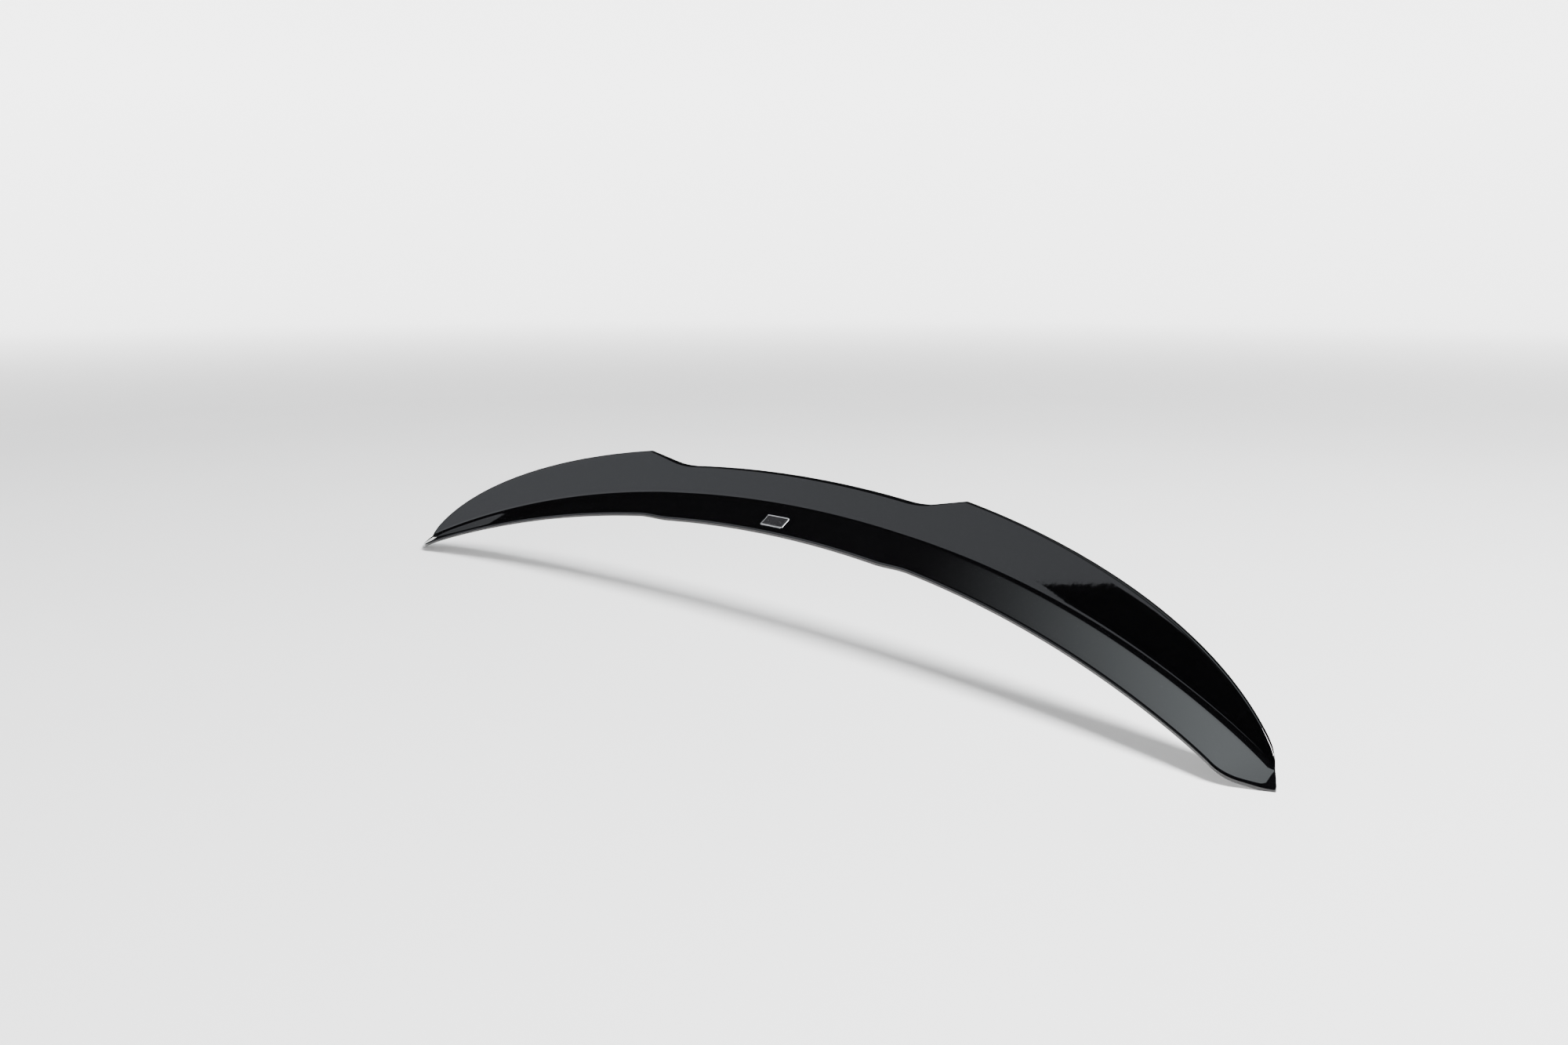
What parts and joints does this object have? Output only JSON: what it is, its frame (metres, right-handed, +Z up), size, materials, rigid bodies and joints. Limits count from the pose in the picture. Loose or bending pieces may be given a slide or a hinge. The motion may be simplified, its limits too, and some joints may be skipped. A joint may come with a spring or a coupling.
{
  "type": "spoiler extension",
  "caption": "Arched gloss black plastic cap for the rear edge of a car's rear wing: bonded flange, upright flap lowered over the middle with raised shoulders, and pointed tips.",
  "frame": {"origin": "inside corner under the fold, on the plane of symmetry, where the wing's top rear edge seats", "axes": "+X along the span, +Y towards the rear of the car, +Z up; the part is mirror-symmetric across X = 0"},
  "size_m": [1.13, 0.1101, 0.1412],
  "materials": {
    "gloss_black": "high gloss black ABS"
  },
  "bodies": {
    "root": {"spoiler_extension": "gloss_black"}
  },
  "joints": []
}
